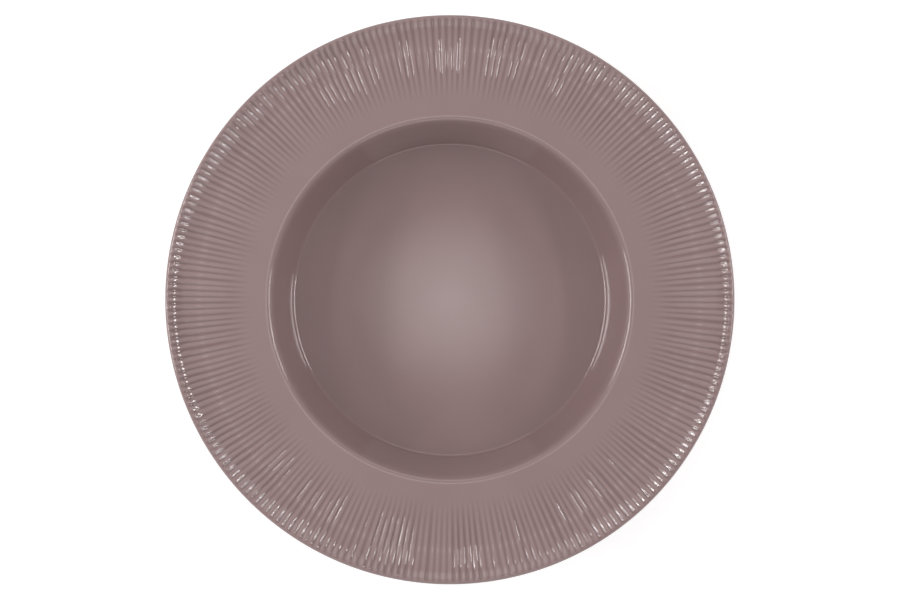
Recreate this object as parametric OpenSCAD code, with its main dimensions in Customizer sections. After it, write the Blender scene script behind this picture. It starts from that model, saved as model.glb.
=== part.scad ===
// Rimmed soup plate with a fluted, upturned rim, in glazed porcelain.
// Millimetres, +Z up. The origin is the centre of the foot, on the surface that the plate stands on.
// The sizes are those of the finished, glazed plate. The clay body lies one coat under them.

/* [Plate] */
// Outside diameter, over the lip
plate_d = 240; // [232:1:250]
// Height of the lip over the table
plate_h = 37; // [34:0.5:42]
// Thickness of the coloured glaze coat
coat_t = 0.3; // [0.2:0.05:0.5]

/* [Well] */
// Diameter of the well where its side meets the rounded edge of the mouth
mouth_d = 150.3; // [144:0.1:154]
// Radius of the rounded edge of the mouth
mouth_edge_r = 2.5; // [1.5:0.1:3.5]
// Steepness of the well's side, from level
side_angle = 68.5; // [64:0.5:76]
// Thickness of the well's side
side_t = 4.2; // [3.6:0.1:5]
// Radius of the hollow between the side and the floor
floor_blend_r = 2; // [1.5:0.25:5]
// Height of the floor over the table, at the middle of the well
floor_h = 7.4; // [6.8:0.1:8.5]
// Thickness of the floor
floor_t = 4.6; // [4:0.1:5]
// Radius of the sphere that the floor is dished to
floor_dish_r = 500; // [400:10:700]

/* [Rim] */
// Thickness of the curled part of the rim and of the lip
lip_t = 3.2; // [2.6:0.1:3.8]
// Width of the upturned part, from the rim's lowest line to the outside of the lip
curl_w = 14.7; // [13:0.1:16]
// Radius of the upturned part, on its upper face
curl_r = 23; // [20:0.5:28]
// Fall of the rim's upper face from the mouth to the upturned part
rim_fall_angle = 4.5; // [3:0.5:6]
// Fall of the rim's underside, which thickens it towards the well
under_fall_angle = 2; // [0:0.5:3]
// Radius of the hollow between the rim's underside and the well's side
under_blend_r = 6; // [4:0.5:8]

/* [Fluted Band] */
// Width of the smooth band between the mouth and the fluted band
smooth_w = 7; // [4:0.5:12]
// Width of the plain lip outside the fluted band
plain_lip_w = 1.5; // [1.2:0.1:2]
// Thickness that the coat has more in the fluted band, for the flutes to lie in
flute_depth = 0.6; // [0.3:0.05:0.8]

/* [Foot] */
// Outside diameter of the foot ring
foot_d = 116; // [110:1:120]
// Width of the foot ring
foot_w = 4.2; // [3.6:0.1:5]
// Rounding of the foot ring's standing edges
foot_edge_r = 0.9; // [0.5:0.1:1.2]
// Radius of the hollows on both sides of the foot ring
foot_blend_r = 2; // [1.5:0.1:2.5]
// Height over the table at which the coat is wiped off the foot ring
bare_h = 1.5; // [1.3:0.1:2]

/* [Hidden] */
glaze_color = [0.55, 0.46, 0.45];
recess_color = [0.5, 0.41, 0.4];
clay_color = [0.93, 0.91, 0.87];
round_fn = 96;
// Each arc bites this far past the stretches that it joins
bite = 0.002;
// Overrun of the cutting shapes
over = 5;
plate_r = plate_d / 2;
lip_r = lip_t / 2;

// Straight steps in which the fluted band's lower face follows the upturned part
band_steps = 3;

function unit(v) = v / norm(v);
function down_at(angle) = [sin(angle), -cos(angle)];

// Lip and upturned part: the lip's centre, then the centre that both faces of the upturned part turn round
lip_c = [plate_r - lip_r - 2 * bite, plate_h - lip_r - 2 * bite];
curl_x = plate_r - curl_w;
curl_c = [curl_x, lip_c.y + sqrt(pow(curl_r + lip_r, 2) - pow(lip_c.x - curl_x, 2))];
to_lip = unit(lip_c - curl_c);

// Rim: the direction of fall of each face and a point on it
face_run = [cos(rim_fall_angle), -sin(rim_fall_angle)];
face_in = down_at(-rim_fall_angle);
under_run = [cos(under_fall_angle), -sin(under_fall_angle)];
under_in = down_at(-under_fall_angle);
function face_end(inset) = curl_c + (curl_r + inset) * face_in;
function under_end(inset) = curl_c + (curl_r + lip_t - inset) * under_in;
function on_line(point, run, x) = point + run * (x - point.x) / run.x;

// Mouth: the centre of its rounded edge lies under the face and outside the well's side
side_in = [-sin(side_angle), cos(side_angle)];
side_down = [-cos(side_angle), -sin(side_angle)];
mouth_x = mouth_d / 2 - mouth_edge_r * side_in.x;
mouth_c = on_line(face_end(mouth_edge_r), face_run, mouth_x);
band_start_x = mouth_x + smooth_w;

// Floor: the centre of its sphere, and the centre of the hollow that runs up into the side
floor_c = [0, floor_h + floor_dish_r];
side_start = mouth_c + (mouth_edge_r + floor_blend_r) * side_in - floor_c;
side_run = -side_start * side_down
  + sqrt(pow(side_start * side_down, 2) - side_start * side_start + pow(floor_dish_r - floor_blend_r, 2));
blend_c = floor_c + side_start + side_run * side_down;
floor_out = unit(blend_c - floor_c);
floor_end = blend_c + floor_blend_r * floor_out;

// Outside of the well: the corner between the side and the rim's underside
function side_out(inset) = blend_c - (floor_blend_r + side_t - inset) * side_in;
function cross2(a, b) = a.x * b.y - a.y * b.x;
function under_corner(inset) = let (start = side_out(inset), gap = under_end(inset) - start)
  start - side_down * cross2(gap, under_run) / cross2(-side_down, under_run);

// Foot ring: its two sides and the centres of the hollows beside it
foot_out_x = foot_d / 2;
foot_in_x = foot_out_x - foot_w;
foot_mid_x = foot_out_x - foot_w / 2;
outside_r = floor_blend_r + side_t;
under_floor_r = floor_dish_r + floor_t;
hollow_r = outside_r + foot_blend_r;
hollow_floor_x = blend_c.x + hollow_r * floor_out.x;
hollow_side = blend_c - hollow_r * side_in;

// Centre of the hollow that lies beside the foot ring at x. It touches the underside of the floor, or further out
// the round of the well's outside, or the side above that.
function hollow_at(x) =
  x < hollow_floor_x ? [x, floor_c.y - sqrt(pow(under_floor_r + foot_blend_r, 2) - pow(x, 2))]
  : x < hollow_side.x ? [x, blend_c.y - sqrt(pow(hollow_r, 2) - pow(x - blend_c.x, 2))]
  : on_line(hollow_side, side_down, x);

// Direction from that centre into the wall that the hollow touches
function into_wall(centre) =
  centre.x < hollow_floor_x ? unit(floor_c - centre)
  : centre.x < hollow_side.x ? unit(blend_c - centre)
  : side_in;
foot_out_c = hollow_at(foot_out_x + foot_blend_r);
foot_in_c = hollow_at(foot_in_x - foot_blend_r);

module disc(centre, r) {
  translate(centre) circle(r = r, $fn = round_fn);
}

// The floor's sphere is drawn with more sides, because it is so much larger
module floor_disc(r) {
  translate(floor_c) circle(r = r, $fn = 16 * round_fn);
}

// Everything under the faces of the plate, as if the well were filled, one inset under the finished surface
module filled_section(inset) {
  under_r = curl_r + lip_t - inset;
  corner = under_corner(inset);
  // well and rim
  polygon([
    [0, blend_c.y],
    blend_c,
    side_out(inset),
    corner,
    under_end(inset),
    curl_c,
    [0, curl_c.y]
  ]);
  disc(blend_c, outside_r - inset + bite);
  // floor
  intersection() {
    floor_disc(under_floor_r - inset);
    square([blend_c.x + (outside_r - inset) * floor_out.x, blend_c.y]);
  }
  // upturned part and lip
  intersection() {
    disc(curl_c, under_r + bite);
    translate(curl_c) polygon([
      [0, 0],
      [-2 * under_r, 0],
      [-2 * under_r, -2 * under_r],
      [0, -2 * under_r],
      2 * under_r * to_lip
    ]);
  }
  disc(lip_c, lip_r - inset + 2 * bite);
  under_hollow(inset, corner);
  foot_section(inset);
}

// Hollow under the rim, between its underside and the outside of the well
module under_hollow(inset, corner) {
  r = under_blend_r + inset;
  half_angle = acos(under_run * side_down) / 2;
  centre = corner + r / sin(half_angle) * unit(under_run + side_down);
  reach = r / tan(half_angle);
  difference() {
    polygon([
      centre,
      corner + reach * under_run - lip_r * under_in,
      corner - lip_r * unit(under_run + side_down),
      corner + reach * side_down + lip_r * side_in
    ]);
    disc(centre, r + bite);
  }
}

// Foot ring, with its hollows and its rounded standing edges
module foot_section(inset) {
  out_x = foot_out_x - inset;
  in_x = foot_in_x + inset;
  wall_reach = foot_blend_r + floor_t / 2;
  difference() {
    polygon([
      [in_x, 0],
      [out_x, 0],
      [out_x, foot_out_c.y],
      foot_out_c,
      foot_out_c + wall_reach * into_wall(foot_out_c),
      foot_in_c + wall_reach * into_wall(foot_in_c),
      foot_in_c,
      [in_x, foot_in_c.y]
    ]);
    disc(foot_out_c, foot_blend_r + inset + bite);
    disc(foot_in_c, foot_blend_r + inset + bite);
    foot_edge_cut(out_x - foot_edge_r, 1);
    foot_edge_cut(in_x + foot_edge_r, -1);
  }
}

// Cuts a standing edge round, on the outer side of the ring with way 1 and on the inner side with way -1
module foot_edge_cut(x, way) {
  translate([x, foot_edge_r]) difference() {
    polygon([[0, 0], [way * over, 0], [way * over, -over], [0, -over]]);
    circle(r = foot_edge_r + bite, $fn = round_fn);
  }
}

// The air over the plate
module air_section(inset) {
  top = curl_c.y + curl_r;
  edge_r = mouth_edge_r - inset;
  difference() {
    polygon([
      [0, blend_c.y],
      blend_c,
      blend_c - (floor_blend_r + inset) * side_in,
      mouth_c + edge_r * side_in,
      mouth_c,
      mouth_c - edge_r * face_in,
      face_end(inset),
      curl_c,
      [curl_c.x, top],
      [0, top]
    ]);
    disc(mouth_c, edge_r + bite);
  }
  disc(blend_c, floor_blend_r + inset + bite);
  disc(curl_c, curl_r + inset + bite);
  intersection() {
    floor_disc(floor_dish_r + inset);
    square([floor_end.x, blend_c.y]);
  }
}

// Half of the plate's cross-section, in radius and height
module plate_section(inset) {
  difference() {
    filled_section(inset);
    air_section(inset);
  }
}

// Section that the clay lacks under the fluted band. It deepens from nothing outside the smooth band to its full depth
// where the rim turns up, and then follows the upturned part in a few straight steps.
module band_section() {
  band_r = curl_r + coat_t + flute_depth;
  end_x = plate_r - plain_lip_w;
  last_angle = asin((end_x - curl_c.x) / band_r);
  polygon(concat(
    [[band_start_x, curl_c.y], on_line(face_end(coat_t), face_run, band_start_x)],
    [
      for (step = [0:band_steps])
        curl_c + band_r * down_at(-rim_fall_angle + (last_angle + rim_fall_angle) * step / band_steps)
    ],
    [[end_x, curl_c.y]]
  ));
}

// Section of the clay
module clay_section() {
  difference() {
    plate_section(coat_t);
    band_section();
  }
}

// Section of what lies inside the foot ring and under the middle of the floor
module recess_side() {
  difference() {
    square([foot_mid_x, blend_c.y]);
    floor_disc(floor_dish_r + floor_t / 2);
  }
}

// Section of the band round the foot that is wiped bare
module wiped_band() {
  translate([foot_in_x - over, -over]) square([foot_w + 2 * over, bare_h + over]);
}

// Section of the coat over the faces, the lip and the back
module coat_section() {
  difference() {
    plate_section(0);
    clay_section();
    recess_side();
    wiped_band();
  }
}

// Fired clay body: well, rim, lip and foot ring in one piece
module porcelain_body() {
  color(clay_color) rotate_extrude($fn = round_fn) clay_section();
}

// Coat over the well, the rim and the lip, and down the back to the wiped band
module outer_glaze() {
  color(glaze_color) rotate_extrude($fn = round_fn) coat_section();
}

// Coat inside the foot ring
module recess_glaze() {
  color(recess_color) rotate_extrude($fn = round_fn) difference() {
    intersection() {
      plate_section(0);
      recess_side();
    }
    plate_section(coat_t);
    wiped_band();
  }
}

porcelain_body();
outer_glaze();
recess_glaze();
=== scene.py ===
import math
import random
from typing import NamedTuple

import bmesh
import bpy
from bpy.props import FloatProperty, FloatVectorProperty, IntProperty, PointerProperty
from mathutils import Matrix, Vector


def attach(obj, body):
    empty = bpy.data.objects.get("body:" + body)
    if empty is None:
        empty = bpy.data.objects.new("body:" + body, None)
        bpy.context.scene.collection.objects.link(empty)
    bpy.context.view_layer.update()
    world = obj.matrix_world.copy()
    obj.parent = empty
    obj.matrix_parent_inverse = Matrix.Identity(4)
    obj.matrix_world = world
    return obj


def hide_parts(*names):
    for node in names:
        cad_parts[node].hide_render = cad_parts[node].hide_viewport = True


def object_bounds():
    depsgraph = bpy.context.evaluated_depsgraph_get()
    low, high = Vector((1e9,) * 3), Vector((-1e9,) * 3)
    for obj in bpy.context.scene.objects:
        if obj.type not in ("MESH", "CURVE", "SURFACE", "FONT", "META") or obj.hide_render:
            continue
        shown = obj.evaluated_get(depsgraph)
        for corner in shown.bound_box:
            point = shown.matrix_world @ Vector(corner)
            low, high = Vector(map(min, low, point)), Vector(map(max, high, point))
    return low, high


bl_info = {
    "name": "Rimmed Soup Plate",
    "version": (1, 0, 0),
    "blender": (4, 5, 0),
    "location": "3D View > Sidebar > Soup Plate",
    "description": "Dresses a glazed soup plate with a fluted, upturned rim and sets up its studio stage",
    "category": "Add Mesh",
}

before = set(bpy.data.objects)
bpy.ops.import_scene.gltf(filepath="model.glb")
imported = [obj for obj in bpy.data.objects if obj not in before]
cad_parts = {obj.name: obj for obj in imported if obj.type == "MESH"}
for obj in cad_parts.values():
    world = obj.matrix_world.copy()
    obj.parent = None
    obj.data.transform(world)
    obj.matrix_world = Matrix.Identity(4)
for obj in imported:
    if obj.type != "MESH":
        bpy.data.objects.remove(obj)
CAD_LOW, CAD_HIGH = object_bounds()
BODY = "root"

# Widths of the flutes of one group, as shares of their mean width
FLUTE_WIDTH_SHARES = (
    1.04, 0.93, 1.08, 0.9, 1.02, 1.1, 0.88, 1.2, 0.94, 1.05, 0.91,
    1.07, 0.96, 0.89, 1.09, 0.95, 1.03, 1.18, 0.86, 1.01, 0.91,
)

# Points round one flute on the finest rings. A ring of another kind keeps one in so many of them.
FLUTE_POINTS = 12
FINE, SMOOTH, PLAIN, MIDDLE = 1, 6, 12, 36

# Part of a dished face, from its middle outwards, that has the widest faces
MIDDLE_SHARE = 0.25

# Steps along the stretches of the section
STEPS = {
    "floor_middle": 6, "floor": 18, "floor_blend": 14, "side": 6, "mouth": 14, "rim": 24, "curl": 28,
    "lip": 9, "lip_back": 12, "curl_back": 14, "rim_back": 4, "under_blend": 12, "side_back": 3,
    "well_round": 12, "floor_back": 2, "recess_middle": 4, "recess": 14, "foot_blend": 10,
    "foot_face": 2, "coat_end": 5,
}

# Power above 1 that leaves most flutes near their full depth
DEPTH_POWER = 1.5

# Part of the flutes' growth at which the coat's inner face has sunk as deep as it goes
SUNK_SHARE = 0.5

# Mesh attribute for how far the glaze has pooled, which also carries painted light: 0 on a crest, painted
# paler as thin glaze and painted highlight,
# 1 on the floor of a deep groove, painted darker as pooled glaze and painted shade, and these shares on a
# plain face and in the well
POOL_SHADE_ATTRIBUTE = "pool_and_shade"
PLAIN_SHARE = 0.3
WELL_SHARE = 0.45

# Levels of noise between which a tint passes from its dark end to its light end
GLAZE_TURN = (0.3, 0.7)
STAIN_TURN = (0.3, 0.65)
GRAIN_TURN = (0.32, 0.5)

# The photograph's size and the place of the plate's middle in it, from its top left corner
PHOTO_W_PX = 900
PHOTO_H_PX = 600
PLATE_X_PX = 449.85
PLATE_Y_PX = 299.68

# The camera's sensor in millimetres, how far it sees in metres, and the sides of the round floor
SENSOR_W_MM = 36
CAMERA_REACH = 20
FLOOR_SIDES = 96


class Lamp(NamedTuple):
    """A soft box that faces the plate. Its angles are in degrees and its lengths in metres."""

    name: str
    azimuth: float
    zenith: float
    distance: float
    width: float
    height: float
    brightness: float
    cone: float = 0


LAMPS = (
    Lamp("left_low", azimuth=175, zenith=63, distance=3.0, width=2.0, height=0.22, brightness=26.0),
    Lamp("left_high", azimuth=172, zenith=50, distance=0.8, width=0.47, height=0.067, brightness=12.0),
    Lamp("right_high", azimuth=8, zenith=50, distance=1.2, width=0.6, height=0.08, brightness=18.0),
    Lamp("right_low", azimuth=8, zenith=63, distance=3.0, width=1.6, height=0.16, brightness=24.0),
    Lamp("front_box", azimuth=-90, zenith=55, distance=1.3, width=1.2, height=0.42, brightness=1.3),
    Lamp("back_box", azimuth=90, zenith=55, distance=1.3, width=1.2, height=0.42, brightness=1.3),
    Lamp("top_soft", azimuth=0, zenith=0, distance=1.5, width=2.6, height=2.6, brightness=0.15, cone=40),
    Lamp("top_glow", azimuth=0, zenith=0, distance=1.3, width=0.6, height=0.6, brightness=2.8, cone=8.5),
)


def length(name, default, description):
    """A size in metres, shown to a tenth of a millimetre."""
    return FloatProperty(
        name=name, description=description, default=default, min=0.0, precision=4,
        subtype="DISTANCE", unit="LENGTH",
    )


def angle(name, degrees, description):
    """An angle, given in degrees and kept in radians."""
    return FloatProperty(
        name=name, description=description, default=math.radians(degrees), subtype="ANGLE", unit="ROTATION"
    )


def share(name, default, description):
    """A number from 0 to 1."""
    return FloatProperty(
        name=name, description=description, default=default, min=0.0, max=1.0, subtype="FACTOR"
    )


def colour(name, default, description):
    """A colour in linear light."""
    return FloatVectorProperty(
        name=name, description=description, default=default, min=0.0, max=1.0, size=3, subtype="COLOR"
    )


class SOUPPLATE_PG_shape(bpy.types.PropertyGroup):
    """Sizes of the finished, glazed plate"""

    plate_d: length("Diameter", CAD_HIGH.x - CAD_LOW.x, "Outside diameter over the lip")
    plate_h: length("Height", CAD_HIGH.z, "Height of the lip over the table")
    coat_t: length("Coat", 0.0003, "Thickness of the glaze coat")
    mouth_d: length("Mouth", 0.1503, "Diameter of the well where its side meets the mouth's rounded edge")
    mouth_edge_r: length("Mouth Edge", 0.0025, "Radius of the rounded edge of the mouth")
    side_angle: angle("Side Angle", 68.5, "Steepness of the well's side, from level")
    side_t: length("Side Thickness", 0.0042, "Thickness of the well's side")
    floor_blend_r: length("Floor Blend", 0.002, "Radius of the hollow between the side and the floor")
    floor_h: length("Floor Height", 0.0074, "Height of the floor over the table, in the middle")
    floor_t: length("Floor Thickness", 0.0046, "Thickness of the floor")
    floor_dish_r: length("Floor Dish", 0.5, "Radius of the sphere that the floor is dished to")
    lip_t: length("Lip Thickness", 0.0032, "Thickness of the upturned part and of the lip")
    curl_w: length("Upturn Width", 0.0147, "Width of the upturned part of the rim")
    curl_r: length("Upturn Radius", 0.023, "Radius of the upturned part, on its upper face")
    rim_fall_angle: angle("Rim Fall", 4.5, "Fall of the rim's upper face from the mouth outwards")
    under_fall_angle: angle("Underside Fall", 2, "Fall of the rim's underside from the well outwards")
    under_blend_r: length("Underside Blend", 0.006, "Radius of the hollow between the rim and the well")
    foot_d: length("Foot Diameter", 0.116, "Outside diameter of the foot ring")
    foot_w: length("Foot Width", 0.0042, "Width of the foot ring")
    foot_blend_r: length("Foot Blend", 0.002, "Radius of the hollows beside the foot ring")
    bare_h: length("Bare Band", 0.0015, "Height over the table at which the coat ends on the foot ring")


class SOUPPLATE_PG_fluting(bpy.types.PropertyGroup):
    """Sizes of the fluting round the rim"""

    groups: IntProperty(
        name="Groups", description="Alike groups of flutes round the rim", default=12, min=6, max=12
    )
    start_r: length("First Depth", 0.083, "Radius at which the flutes begin")
    full_r: length("Full Depth", 0.101, "Radius at which the flutes reach their full depth")
    depth: length("Depth", 0.00042, "Depth of the flutes on the upturned part")
    crest_drop: length("Crest Drop", 0.0001, "How far the lowest crests lie under the highest")
    depth_play: share("Depth Play", 0.38, "How much shallower the shallowest flutes are")
    crest_share: share("Crest Share", 0.56, "Part of each flute's width over which its crest is rounded")
    groove_share: share("Groove Share", 0.32, "Part of each flute's width over which its groove is rounded")
    lip_fade_angle: angle("Lip Fade", 40, "Part of the lip's rounding over which the flutes die out")
    seed: IntProperty(
        name="Seed", description="Picks the small differences between the flutes", default=7, min=0
    )


class SOUPPLATE_PG_finish(bpy.types.PropertyGroup):
    """Colours and gloss of the glaze and of the bare clay"""

    glaze: colour("Glaze", (0.296, 0.205, 0.201), "Colour of the glaze")
    # The well's darker colour is partly a fuller coat of glaze and partly painted shade in the well
    well_glaze_and_shade: colour("Well Glaze", (0.268, 0.180, 0.177), "Colour of the fuller coat in the well")
    # Crests paler and grooves darker: partly thin and pooled glaze, partly painted highlight on the crests
    # and painted shade in the grooves
    thin_glaze_and_highlight: colour("Thin Glaze", (0.325, 0.229, 0.224), "Colour where the glaze runs thin on the crests")
    pooled_glaze_and_shade: colour("Deep Glaze", (0.222, 0.148, 0.146), "Colour where the glaze gathers in the grooves")
    gloss: share("Glaze Roughness", 0.08, "Mean roughness of the glaze")
    gloss_play: share("Roughness Play", 0.15, "How far the roughness strays from its mean, as a share of it")
    gloss_patch_w: length("Gloss Patch Size", 0.015, "Width of the glossier patches")
    glaze_ior: FloatProperty(
        name="Glaze IOR", description="Index of refraction of the glaze", default=1.55, min=1.0, max=3.0
    )
    cloud_w: length("Cloud Size", 0.03, "Width of the faint clouds in the glaze")
    cloud_shade: share("Cloud Shade", 0.94, "Brightness of the darkest clouds")
    speckle_w: length("Speckle Size", 0.0005, "Width of the faint speckles in the glaze")
    speckle_shade: share("Speckle Shade", 0.97, "Brightness of the darkest speckles")
    ripple_w: length("Ripple Size", 0.004, "Width of the faint ripples in the glaze's surface")
    ripple_h: length("Ripple Height", 0.000004, "Height of those ripples")
    clay: colour("Clay", (0.80, 0.77, 0.71), "Colour of the bare clay")
    clay_shade: colour("Clay Shade", (0.66, 0.61, 0.54), "Colour of the clay's darker grains")
    grain_w: length("Grain Size", 0.0005, "Width of the grains on the bare clay")
    stain_w: length("Stain Size", 0.02, "Width of the faint stains on the clay")
    stain_shade: share("Stain Shade", 0.9, "Brightness of the darkest stains")
    clay_roughness: share("Clay Roughness", 0.72, "Roughness of the bare clay")
    rub_play: share("Rubbing", 0.15, "How much smoother the rubbed patches are")
    rub_w: length("Rubbed Patch Size", 0.006, "Width of the rubbed patches")
    pit_w: length("Pit Size", 0.00025, "Width of the pits in the clay's surface")
    pit_h: length("Pit Depth", 0.000025, "Depth of those pits")


class SOUPPLATE_PG_stage(bpy.types.PropertyGroup):
    """Floor, lamps and camera"""

    floor: colour("Floor", (0.86, 0.86, 0.86), "Colour of the floor")
    floor_r: length("Floor Radius", 8.0, "Radius of the round floor")
    floor_lift: share("Floor Lift", 0.45, "Light that the floor adds in the picture, so that it is white")
    room: share("Room Light", 0.36, "Strength of the even light from all round")
    backdrop: share("Backdrop", 0.34, "Brightness of the room's walls where they show, also in gloss")
    camera_h: length("Camera Height", 2.6, "Height of the camera over the lip")
    photo_scale: length("Picture Scale", 0.0004212, "Width of one picture element at the lip")


# The section is drawn in radius and height.
# A turn of 0 points straight down and a quarter turn points outwards.


def towards(turn):
    """The direction of a turn."""
    return Vector((math.sin(turn), -math.cos(turn)))


def turn_of(direction):
    """The turn of a direction."""
    return math.atan2(direction.x, -direction.y)


def cross(first, second):
    """The signed area between two directions, which is 0 where they run alike."""
    return first.x * second.y - first.y * second.x


class Station:
    """One ring of the plate's surface: its place in the section, its outward normal and its kind.
    Its relief says how much of the flutes' depth it has, and its glaze share how far the glaze has pooled
    there, which also sets the painted shade and painted highlight in its colour."""

    def __init__(self, place, normal, skip, relief=0.0, pool_and_shade=PLAIN_SHARE):
        self.place = place
        self.normal = normal
        self.skip = skip
        self.relief = relief
        self.pool_and_shade = pool_and_shade


class Section:
    """The places in the plate's section that its arcs turn round, worked out from the sizes."""

    def __init__(self, shape):
        self.shape = shape
        self.lip_r = shape.lip_t / 2
        self.lip_c = Vector((shape.plate_d / 2 - self.lip_r, shape.plate_h - self.lip_r))
        curl_x = shape.plate_d / 2 - shape.curl_w
        rise = math.sqrt((shape.curl_r + self.lip_r) ** 2 - (self.lip_c.x - curl_x) ** 2)
        self.curl_c = Vector((curl_x, self.lip_c.y + rise))
        self.lip_turn = turn_of(self.lip_c - self.curl_c)
        fall = shape.rim_fall_angle
        face_start = self.curl_c + (shape.curl_r + shape.mouth_edge_r) * towards(-fall)
        side_in = -towards(shape.side_angle)
        side_down = Vector((-math.cos(shape.side_angle), -math.sin(shape.side_angle)))
        mouth_x = shape.mouth_d / 2 - shape.mouth_edge_r * side_in.x
        self.mouth_c = Vector((mouth_x, face_start.y + (face_start.x - mouth_x) * math.tan(fall)))
        self.floor_c = Vector((0, shape.floor_h + shape.floor_dish_r))
        self.blend_c = self.above_the_floor(side_in, side_down)
        self.outside_r = shape.floor_blend_r + shape.side_t
        self.foot_out_c = self.beside_foot(shape.foot_d / 2 + shape.foot_blend_r)
        self.foot_in_c = self.beside_foot(shape.foot_d / 2 - shape.foot_w - shape.foot_blend_r)
        self.under_c = self.under_the_rim(side_in, side_down)

    def above_the_floor(self, side_in, side_down):
        """The centre of the floor's hollow lies its own radius from the well's side and from the floor."""
        shape = self.shape
        start = self.mouth_c + (shape.mouth_edge_r + shape.floor_blend_r) * side_in - self.floor_c
        along = -start.dot(side_down)
        reach = shape.floor_dish_r - shape.floor_blend_r
        run = along + math.sqrt(along ** 2 - start.dot(start) + reach ** 2)
        return self.floor_c + start + run * side_down

    def beside_foot(self, x):
        """The centre of a hollow beside the foot ring, which touches the underside of the floor."""
        reach = self.shape.floor_dish_r + self.shape.floor_t + self.shape.foot_blend_r
        return Vector((x, self.floor_c.y - math.sqrt(reach ** 2 - x ** 2)))

    def under_the_rim(self, side_in, side_down):
        """The centre of the hollow lies its own radius from the rim's underside and from the well's side."""
        shape = self.shape
        r = shape.under_blend_r
        under_in = towards(-shape.under_fall_angle)
        under_run = Vector((math.cos(shape.under_fall_angle), -math.sin(shape.under_fall_angle)))
        on_under = self.curl_c + (shape.curl_r + shape.lip_t + r) * under_in
        on_side = self.blend_c - (self.outside_r + r) * side_in
        run = cross(on_under - on_side, under_run) / cross(side_down, under_run)
        return on_side + run * side_down


def hollow_arc(centre, r, start, end, steps, skip):
    """Stations along an arc that the clay surrounds, from one turn to the other."""
    for step in range(steps + 1):
        way = towards(start + (end - start) * step / steps)
        yield Station(centre + r * way, -way, skip)


def round_arc(centre, r, start, end, steps, skip):
    """Stations along an arc that surrounds the clay, from one turn to the other."""
    for step in range(steps + 1):
        way = towards(start + (end - start) * step / steps)
        yield Station(centre + r * way, way, skip)


def straight(first, last, steps, skip):
    """Stations between two others, on a straight stretch with one normal."""
    for step in range(1, steps):
        yield Station(first.place.lerp(last.place, step / steps), first.normal, skip)


def smooth_step(value, low, high):
    """0 up to the low end and 1 from the high end on, with an even rise between."""
    t = min(max((value - low) / (high - low), 0.0), 1.0)
    return t * t * (3 - 2 * t)


def upper_stations(section, fluting):
    """From the middle of the well over the mouth and the rim to the outside of the lip."""
    shape = section.shape
    side = shape.side_angle
    floor_turn = turn_of(section.blend_c - section.floor_c)
    middle_turn = floor_turn * MIDDLE_SHARE
    stations = list(hollow_arc(
        section.floor_c, shape.floor_dish_r, 0, middle_turn, STEPS["floor_middle"], MIDDLE
    ))
    stations += list(hollow_arc(
        section.floor_c, shape.floor_dish_r, middle_turn, floor_turn, STEPS["floor"], SMOOTH
    ))[1:]
    stations += list(hollow_arc(
        section.blend_c, shape.floor_blend_r, floor_turn, side, STEPS["floor_blend"], SMOOTH
    ))[1:]
    edge = list(round_arc(
        section.mouth_c, shape.mouth_edge_r, side + math.pi, math.pi - shape.rim_fall_angle,
        STEPS["mouth"], SMOOTH,
    ))
    stations += list(straight(stations[-1], edge[0], STEPS["side"], SMOOTH)) + edge
    # Painted shade: the well's floor, hollow and side take the darker well colour, partly a fuller coat of
    # glaze
    for station in stations[:-len(edge)]:
        station.pool_and_shade = WELL_SHARE
    curl = list(hollow_arc(
        section.curl_c, shape.curl_r, -shape.rim_fall_angle, section.lip_turn, STEPS["curl"], FINE
    ))
    stations += list(straight(stations[-1], curl[0], STEPS["rim"], FINE)) + curl
    lip_start = section.lip_turn + math.pi
    lip_full = math.pi + fluting.lip_fade_angle / 2
    lip_end = math.pi - fluting.lip_fade_angle
    lip = list(round_arc(section.lip_c, section.lip_r, lip_start, lip_end, STEPS["lip"], FINE))[1:]
    for station in stations:
        if station.skip == FINE:
            station.relief = smooth_step(station.place.x, fluting.start_r, fluting.full_r)
            if station.relief == 0.0:
                station.skip = SMOOTH
    for station in lip:
        turn = turn_of(station.normal) % (2 * math.pi)
        station.relief = smooth_step(turn, lip_end, lip_full)
    return stations + lip


def lower_stations(section, fluting):
    """From the outside of the lip down the back of the plate to the end of the coat on the foot ring."""
    shape = section.shape
    lip_end = math.pi - fluting.lip_fade_angle
    under_r = shape.curl_r + shape.lip_t
    stations = list(round_arc(
        section.lip_c, section.lip_r, lip_end, section.lip_turn, STEPS["lip_back"], SMOOTH
    ))[1:]
    stations += list(round_arc(
        section.curl_c, under_r, section.lip_turn, -shape.under_fall_angle, STEPS["curl_back"], SMOOTH
    ))[1:]
    hollow = list(hollow_arc(
        section.under_c, shape.under_blend_r, math.pi - shape.under_fall_angle, shape.side_angle + math.pi,
        STEPS["under_blend"], SMOOTH,
    ))
    stations += list(straight(stations[-1], hollow[0], STEPS["rim_back"], SMOOTH)) + hollow
    floor_turn = turn_of(section.blend_c - section.floor_c)
    foot_turn = turn_of(section.foot_out_c - section.floor_c)
    well = list(round_arc(
        section.blend_c, section.outside_r, shape.side_angle, floor_turn, STEPS["well_round"], SMOOTH
    ))
    stations += list(straight(stations[-1], well[0], STEPS["side_back"], SMOOTH)) + well
    floor_r = shape.floor_dish_r + shape.floor_t
    stations += list(round_arc(
        section.floor_c, floor_r, floor_turn, foot_turn, STEPS["floor_back"], SMOOTH
    ))[1:]
    stations += list(hollow_arc(
        section.foot_out_c, shape.foot_blend_r, foot_turn + math.pi, 3 * math.pi / 2,
        STEPS["foot_blend"], SMOOTH,
    ))[1:]
    end_c = Vector((shape.foot_d / 2 - shape.coat_t, shape.bare_h + shape.coat_t))
    edge = list(round_arc(end_c, shape.coat_t, math.pi / 2, 0, STEPS["coat_end"], SMOOTH))
    return stations + list(straight(stations[-1], edge[0], STEPS["foot_face"], SMOOTH)) + edge


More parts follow.
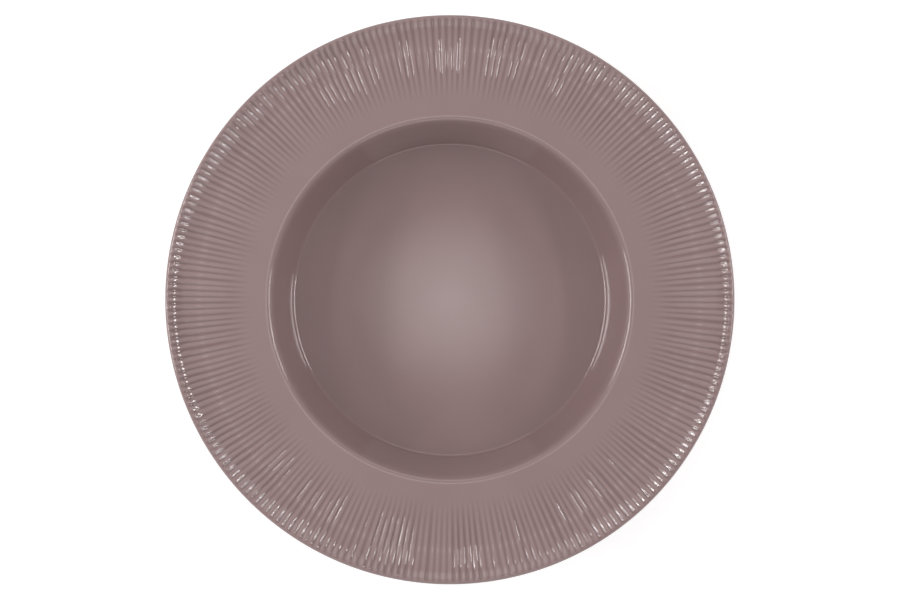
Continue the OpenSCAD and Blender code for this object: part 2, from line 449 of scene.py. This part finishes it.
def recess_stations(section):
    """From the middle of the underside to the end of the coat on the inner face of the foot ring."""
    shape = section.shape
    floor_turn = turn_of(section.foot_in_c - section.floor_c)
    floor_r = shape.floor_dish_r + shape.floor_t
    middle_turn = floor_turn * MIDDLE_SHARE
    stations = list(round_arc(section.floor_c, floor_r, 0, middle_turn, STEPS["recess_middle"], MIDDLE))
    stations += list(round_arc(
        section.floor_c, floor_r, middle_turn, floor_turn, STEPS["recess"], SMOOTH
    ))[1:]
    stations += list(hollow_arc(
        section.foot_in_c, shape.foot_blend_r, floor_turn + math.pi, math.pi / 2,
        STEPS["foot_blend"], SMOOTH,
    ))[1:]
    end_c = Vector((shape.foot_d / 2 - shape.foot_w + shape.coat_t, shape.bare_h + shape.coat_t))
    edge = list(round_arc(end_c, shape.coat_t, 3 * math.pi / 2, 2 * math.pi, STEPS["coat_end"], SMOOTH))
    return stations + list(straight(stations[-1], edge[0], STEPS["foot_face"], SMOOTH)) + edge


def clay_side(stations, coat_t, flute_depth):
    """The inner face of the coat, walked back from the end of the coat to the middle.
    It lies one coat under the plain face and one coat under the deepest floors of the flutes."""
    closest = coat_t / 2
    deeper = []
    for station in reversed(stations[:-1]):
        depth = coat_t + flute_depth * smooth_step(station.relief, 0.0, SUNK_SHARE)
        place = station.place - depth * station.normal
        too_close = deeper and (place - deeper[-1].place).length < closest
        if not too_close:
            deeper.append(Station(place, -station.normal, max(station.skip, PLAIN)))
    return deeper


def flute_profile(part, crest_share, groove_share):
    """Depth across one flute, from 0 on its crests to 1 in its groove, with straight flanks between."""
    reach = min(part, 1 - part)
    crest, groove = crest_share / 2, groove_share / 2
    lag = 2 * crest / 3
    full = 0.5 - lag - groove / 2
    if reach < crest:
        return reach ** 3 / (3 * crest ** 2) / full
    if reach > 0.5 - groove:
        return 1 - (0.5 - reach) ** 2 / (2 * groove) / full
    return (reach - lag) / full


class Flutes:
    """The azimuth and the depth of every point on the finest ring, and how far the glaze pools there, which
    also sets the painted shade in the grooves and the painted highlight on the crests.
    """

    def __init__(self, fluting):
        dice = random.Random(fluting.seed)
        total = fluting.groups * len(FLUTE_WIDTH_SHARES)
        depths = [1 - fluting.depth_play * dice.random() ** DEPTH_POWER for _ in range(total)]
        crests = [fluting.crest_drop * dice.random() for _ in range(total)]
        mean_width = 2 * math.pi / (fluting.groups * sum(FLUTE_WIDTH_SHARES))
        self.azimuths = []
        self.drops = []
        self.pooling_and_shade = []
        start = 0.0
        for flute in range(total):
            width = mean_width * FLUTE_WIDTH_SHARES[flute % len(FLUTE_WIDTH_SHARES)]
            for point in range(FLUTE_POINTS):
                part = point / FLUTE_POINTS
                groove = flute_profile(part, fluting.crest_share, fluting.groove_share)
                crest = crests[flute] * (1 - part) + crests[(flute + 1) % total] * part
                floor = max(fluting.depth * depths[flute], crest)
                self.azimuths.append(start + part * width)
                self.drops.append(crest + (floor - crest) * groove)
                # Painted shade: deeper grooves take more of the darker pooled colour, partly real pooling of
                # the glaze
                self.pooling_and_shade.append(groove * depths[flute])
            start += width


def ring_points(station, flutes):
    """The points of one ring, with how far the glaze has pooled at each, which also sets its painted shade
    or painted highlight.
    """
    skip = station.skip
    for azimuth, drop, point_pool_shade in zip(flutes.azimuths[::skip], flutes.drops[::skip], flutes.pooling_and_shade[::skip]):
        place = station.place - drop * station.relief * station.normal
        pool_and_shade = station.pool_and_shade + station.relief * (point_pool_shade - station.pool_and_shade)
        yield Vector((place.x * math.cos(azimuth), place.x * math.sin(azimuth), place.y)), pool_and_shade


def coat_mesh(name, stations, flutes):
    """A closed skin through the rings, whose first and last stations lie on the axis."""
    mesh = bpy.data.meshes.new(name)
    bm = bmesh.new()
    pool_and_shade = bm.verts.layers.float.new(POOL_SHADE_ATTRIBUTE)
    rings = []
    for station in stations[1:-1]:
        ring = []
        for place, ring_pool_shade in ring_points(station, flutes):
            vert = bm.verts.new(place)
            vert[pool_and_shade] = ring_pool_shade
            ring.append(vert)
        rings.append(ring)
    for station, ring in ((stations[0], rings[0]), (stations[-1], rings[-1])):
        middle = bm.verts.new((0, 0, station.place.y))
        middle[pool_and_shade] = station.pool_and_shade
        for a, b in zip(ring, ring[1:] + ring[:1]):
            bm.faces.new((middle, a, b))
    for here, there in zip(rings, rings[1:]):
        join_rings(bm, here, there)
    bmesh.ops.recalc_face_normals(bm, faces=bm.faces)
    for face in bm.faces:
        face.smooth = True
    bm.to_mesh(mesh)
    bm.free()
    piece = bpy.data.objects.new(name, mesh)
    bpy.context.scene.collection.objects.link(piece)
    return piece


def join_rings(bm, here, there):
    """Faces between two rings, where one may have several points for each point of the other."""
    wide, close = (here, there) if len(here) <= len(there) else (there, here)
    ratio = len(close) // len(wide)
    for i, first in enumerate(wide):
        last = wide[(i + 1) % len(wide)]
        run = [close[(i * ratio + k) % len(close)] for k in range(ratio + 1)]
        bm.faces.new([first, *run, last])


def socket(node, name, value):
    node.inputs[name].default_value = value


def new_material(name):
    """An empty node material with its shader and output joined."""
    material = bpy.data.materials.new(name)
    material.use_nodes = True
    tree = material.node_tree
    tree.nodes.clear()
    shader = tree.nodes.new("ShaderNodeBsdfPrincipled")
    output = tree.nodes.new("ShaderNodeOutputMaterial")
    tree.links.new(shader.outputs["BSDF"], output.inputs["Surface"])
    return material, tree, shader


def noise(tree, width, detail, roughness=0.5):
    """Noise on the object's own coordinates, whose lumps are about as wide as given."""
    place = tree.nodes.new("ShaderNodeTexCoord")
    texture = tree.nodes.new("ShaderNodeTexNoise")
    socket(texture, "Scale", 1 / width)
    socket(texture, "Detail", detail)
    socket(texture, "Roughness", roughness)
    tree.links.new(place.outputs["Object"], texture.inputs["Vector"])
    return texture.outputs["Fac"]


def attribute(tree, name):
    """A number that the mesh carries at its points."""
    node = tree.nodes.new("ShaderNodeAttribute")
    node.attribute_name = name
    return node.outputs["Fac"]


def ramp(tree, factor, stops):
    """A colour that passes through the stops, each a position and a tint, as the factor rises."""
    node = tree.nodes.new("ShaderNodeValToRGB")
    tree.links.new(factor, node.inputs["Fac"])
    elements = node.color_ramp.elements
    for element, (position, tint) in zip(elements, (stops[0], stops[-1])):
        element.position = position
        element.color = (*tint, 1)
    for position, tint in stops[1:-1]:
        elements.new(position).color = (*tint, 1)
    return node.outputs["Color"]


def shaded(tree, first, second):
    """One colour times another."""
    node = tree.nodes.new("ShaderNodeMix")
    node.data_type = "RGBA"
    node.blend_type = "MULTIPLY"
    socket(node, "Factor", 1.0)
    tree.links.new(first, node.inputs["A"])
    tree.links.new(second, node.inputs["B"])
    return node.outputs["Result"]


def spread(tree, factor, low, high):
    """A number from low to high, as the factor goes from 0 to 1."""
    node = tree.nodes.new("ShaderNodeMapRange")
    tree.links.new(factor, node.inputs["Value"])
    socket(node, "To Min", low)
    socket(node, "To Max", high)
    return node.outputs["Result"]


def bump(tree, height, distance):
    """A normal for relief of the given height."""
    node = tree.nodes.new("ShaderNodeBump")
    socket(node, "Distance", distance)
    socket(node, "Strength", 1.0)
    tree.links.new(height, node.inputs["Height"])
    return node.outputs["Normal"]


def grey(level):
    return (level, level, level)


def turned(tree, factor, turn, dark, light):
    """A tint that is dark below the turn's levels of the factor and light above them."""
    low, high = turn
    return ramp(tree, factor, [(low, dark), (high, light)])


def glaze_material(finish):
    """Glossy coloured glaze with faint clouds and ripples, paler on the crests and darker in the grooves and
    the well: partly thinner, pooled and fuller glaze, partly a painted highlight on the crests and painted
    shade in the grooves and the well.
    """
    material, tree, shader = new_material("plate_glaze")
    # Painted light in the colour: paler crests as painted highlight, darker grooves and well as painted
    # shade, partly thin, pooled and fuller glaze
    body = ramp(tree, attribute(tree, POOL_SHADE_ATTRIBUTE), [
        (0.0, finish.thin_glaze_and_highlight),
        (PLAIN_SHARE, finish.glaze),
        (WELL_SHARE, finish.well_glaze_and_shade),
        (1.0, finish.pooled_glaze_and_shade),
    ])
    lumps = noise(tree, finish.cloud_w, detail=3)
    clouds = turned(tree, lumps, GLAZE_TURN, grey(finish.cloud_shade), grey(1.0))
    dots = noise(tree, finish.speckle_w, detail=2)
    speckles = turned(tree, dots, GLAZE_TURN, grey(finish.speckle_shade), grey(1.0))
    tree.links.new(shaded(tree, shaded(tree, body, clouds), speckles), shader.inputs["Base Color"])
    patches = noise(tree, finish.gloss_patch_w, detail=2)
    smooth, dull = finish.gloss * (1 - finish.gloss_play), finish.gloss * (1 + finish.gloss_play)
    tree.links.new(spread(tree, patches, smooth, dull), shader.inputs["Roughness"])
    ripples = noise(tree, finish.ripple_w, detail=2)
    tree.links.new(bump(tree, ripples, finish.ripple_h), shader.inputs["Normal"])
    socket(shader, "IOR", finish.glaze_ior)
    return material


def clay_material(finish):
    """Bare fired clay, matte and finely grained, with the polish of a rubbed standing ring."""
    material, tree, shader = new_material("plate_clay")
    dots = noise(tree, finish.grain_w, detail=4, roughness=0.7)
    grains = turned(tree, dots, GRAIN_TURN, finish.clay_shade, finish.clay)
    lumps = noise(tree, finish.stain_w, detail=3)
    stains = turned(tree, lumps, STAIN_TURN, grey(finish.stain_shade), grey(1.0))
    tree.links.new(shaded(tree, grains, stains), shader.inputs["Base Color"])
    patches = noise(tree, finish.rub_w, detail=2)
    rough = finish.clay_roughness
    tree.links.new(spread(tree, patches, rough * (1 - finish.rub_play), rough), shader.inputs["Roughness"])
    pits = noise(tree, finish.pit_w, detail=5, roughness=0.65)
    tree.links.new(bump(tree, pits, finish.pit_h), shader.inputs["Normal"])
    return material


def named_material(name, maker, finish):
    """The material of that name, made the first time that it is asked for."""
    return bpy.data.materials.get(name) or maker(finish)


class SOUPPLATE_OT_outer_coat(bpy.types.Operator):
    """Build the coat over the well, the fluted rim, the lip and the back"""

    bl_idname = "soup_plate.outer_coat"
    bl_label = "Outer Coat"

    def execute(self, context):
        scene = context.scene
        shape, fluting = scene.soup_plate_shape, scene.soup_plate_fluting
        section = Section(shape)
        outside = upper_stations(section, fluting) + lower_stations(section, fluting)
        stations = outside + clay_side(outside, shape.coat_t, fluting.depth)
        piece = coat_mesh("outer_coat", stations, Flutes(fluting))
        piece.data.materials.append(named_material("plate_glaze", glaze_material, scene.soup_plate_finish))
        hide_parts("outer_glaze")
        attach(piece, BODY)
        return {"FINISHED"}


class SOUPPLATE_OT_recess_coat(bpy.types.Operator):
    """Build the coat inside the foot ring"""

    bl_idname = "soup_plate.recess_coat"
    bl_label = "Recess Coat"

    def execute(self, context):
        scene = context.scene
        shape = scene.soup_plate_shape
        outside = recess_stations(Section(shape))
        stations = outside + clay_side(outside, shape.coat_t, 0.0)
        piece = coat_mesh("recess_coat", stations, Flutes(scene.soup_plate_fluting))
        piece.data.materials.append(named_material("plate_glaze", glaze_material, scene.soup_plate_finish))
        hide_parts("recess_glaze")
        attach(piece, BODY)
        return {"FINISHED"}


class SOUPPLATE_OT_clay_body(bpy.types.Operator):
    """Give the clay body its bare porcelain, which shows on the standing ring"""

    bl_idname = "soup_plate.clay_body"
    bl_label = "Clay Body"

    def execute(self, context):
        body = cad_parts["porcelain_body"]
        body.data.materials.clear()
        body.data.materials.append(
            named_material("plate_clay", clay_material, context.scene.soup_plate_finish)
        )
        return {"FINISHED"}


def soft_box(lamp):
    """An area light that faces the plate. Its face shows pi / 4 of the brightness, with white paper as 1.
    With a cone, it does so only along its axis, and is dark past the cone's half angle."""
    light = bpy.data.lights.new(lamp.name, "AREA")
    light.shape = "RECTANGLE"
    light.size, light.size_y = lamp.width, lamp.height
    light.energy = lamp.brightness * math.pi * lamp.width * lamp.height
    if lamp.cone:
        cone = math.radians(lamp.cone)
        light.spread = 2 * cone
        light.energy *= (math.tan(cone) - cone) / math.tan(cone)
    holder = bpy.data.objects.new(lamp.name, light)
    azimuth, zenith = math.radians(lamp.azimuth), math.radians(lamp.zenith)
    level = Vector((math.cos(azimuth), math.sin(azimuth), 0))
    way = math.sin(zenith) * level + math.cos(zenith) * Vector((0, 0, 1))
    aim = Vector((0, 0, CAD_HIGH.z))
    holder.location = aim + lamp.distance * way
    holder.rotation_mode = "QUATERNION"
    holder.rotation_quaternion = way.to_track_quat("Z", "Y")
    holder.visible_camera = False
    bpy.context.scene.collection.objects.link(holder)


def seen_rays(tree):
    """1 for the rays that show the backdrop, which are those of the camera, of gloss and of glass."""
    path = tree.nodes.new("ShaderNodeLightPath")
    seen = path.outputs["Is Camera Ray"]
    for kind in ("Is Glossy Ray", "Is Transmission Ray"):
        either = tree.nodes.new("ShaderNodeMath")
        either.operation = "MAXIMUM"
        tree.links.new(seen, either.inputs[0])
        tree.links.new(path.outputs[kind], either.inputs[1])
        seen = either.outputs[0]
    return seen


def floor_material(stage):
    """White paper that keeps shadows, is lifted to white in the picture and is clear from below."""
    material = bpy.data.materials.new("floor_paper")
    material.use_nodes = True
    tree = material.node_tree
    tree.nodes.clear()
    paper = tree.nodes.new("ShaderNodeBsdfDiffuse")
    socket(paper, "Color", (*stage.floor, 1))
    lift = tree.nodes.new("ShaderNodeEmission")
    tree.links.new(spread(tree, seen_rays(tree), 0.0, stage.floor_lift), lift.inputs["Strength"])
    lit = tree.nodes.new("ShaderNodeAddShader")
    tree.links.new(paper.outputs["BSDF"], lit.inputs[0])
    tree.links.new(lift.outputs["Emission"], lit.inputs[1])
    side = tree.nodes.new("ShaderNodeNewGeometry")
    clear = tree.nodes.new("ShaderNodeBsdfTransparent")
    sheet = tree.nodes.new("ShaderNodeMixShader")
    tree.links.new(side.outputs["Backfacing"], sheet.inputs["Fac"])
    tree.links.new(lit.outputs["Shader"], sheet.inputs[1])
    tree.links.new(clear.outputs["BSDF"], sheet.inputs[2])
    output = tree.nodes.new("ShaderNodeOutputMaterial")
    tree.links.new(sheet.outputs["Shader"], output.inputs["Surface"])
    return material


def add_floor(stage):
    """A round sheet of paper under the plate."""
    mesh = bpy.data.meshes.new("studio_floor")
    bm = bmesh.new()
    bmesh.ops.create_circle(bm, cap_ends=True, segments=FLOOR_SIDES, radius=stage.floor_r)
    bm.to_mesh(mesh)
    bm.free()
    floor = bpy.data.objects.new("studio_floor", mesh)
    floor.data.materials.append(floor_material(stage))
    bpy.context.scene.collection.objects.link(floor)


def add_room_light(stage):
    """Even light from all round, and the brightness that the room shows in the picture and in gloss."""
    world = bpy.data.worlds.new("room")
    world.use_nodes = True
    tree = world.node_tree
    background = tree.nodes["Background"]
    socket(background, "Color", (1, 1, 1, 1))
    tree.links.new(spread(tree, seen_rays(tree), stage.room, stage.backdrop), background.inputs["Strength"])
    bpy.context.scene.world = world


def add_camera(stage):
    """The camera looks straight down from far off, with the plate where the photograph has it."""
    picture_w = PHOTO_W_PX * stage.photo_scale
    camera = bpy.data.cameras.new("overhead_camera")
    camera.sensor_width = SENSOR_W_MM
    camera.lens = camera.sensor_width * stage.camera_h / picture_w
    camera.clip_end = CAMERA_REACH
    holder = bpy.data.objects.new("overhead_camera", camera)
    aside = Vector((PLATE_X_PX - PHOTO_W_PX / 2, PHOTO_H_PX / 2 - PLATE_Y_PX)) * stage.photo_scale
    holder.location = (-aside.x, -aside.y, CAD_HIGH.z + stage.camera_h)
    bpy.context.scene.collection.objects.link(holder)
    bpy.context.scene.camera = holder


class SOUPPLATE_OT_stage(bpy.types.Operator):
    """Set up the floor, the room light, the soft boxes and the overhead camera"""

    bl_idname = "soup_plate.stage"
    bl_label = "Stage"

    def execute(self, context):
        stage = context.scene.soup_plate_stage
        add_floor(stage)
        add_room_light(stage)
        for lamp in LAMPS:
            soft_box(lamp)
        add_camera(stage)
        context.scene.view_settings.view_transform = "Standard"
        return {"FINISHED"}


class SOUPPLATE_PT_sidebar(bpy.types.Panel):
    """Sizes, finishes and makers of the soup plate"""

    bl_idname = "SOUPPLATE_PT_sidebar"
    bl_label = "Soup Plate"
    bl_space_type = "VIEW_3D"
    bl_region_type = "UI"
    bl_category = "Soup Plate"

    def draw(self, context):
        scene = context.scene
        for name in GROUPS:
            group = getattr(scene, name)
            box = self.layout.box()
            for key in group.bl_rna.properties.keys():
                if key not in {"rna_type", "name"}:
                    box.prop(group, key)
        for maker in MAKERS:
            self.layout.operator(maker.bl_idname)


GROUPS = {
    "soup_plate_shape": SOUPPLATE_PG_shape,
    "soup_plate_fluting": SOUPPLATE_PG_fluting,
    "soup_plate_finish": SOUPPLATE_PG_finish,
    "soup_plate_stage": SOUPPLATE_PG_stage,
}
MAKERS = (SOUPPLATE_OT_outer_coat, SOUPPLATE_OT_recess_coat, SOUPPLATE_OT_clay_body, SOUPPLATE_OT_stage)


def register():
    for cls in (*GROUPS.values(), *MAKERS, SOUPPLATE_PT_sidebar):
        bpy.utils.register_class(cls)
    for name, group in GROUPS.items():
        setattr(bpy.types.Scene, name, PointerProperty(type=group))


def unregister():
    for name in GROUPS:
        delattr(bpy.types.Scene, name)
    for cls in (SOUPPLATE_PT_sidebar, *reversed(MAKERS), *reversed(GROUPS.values())):
        bpy.utils.unregister_class(cls)


def main():
    register()
    bpy.ops.soup_plate.outer_coat()
    bpy.ops.soup_plate.recess_coat()
    bpy.ops.soup_plate.clay_body()
    bpy.ops.soup_plate.stage()


if __name__ == "__main__":
    main()
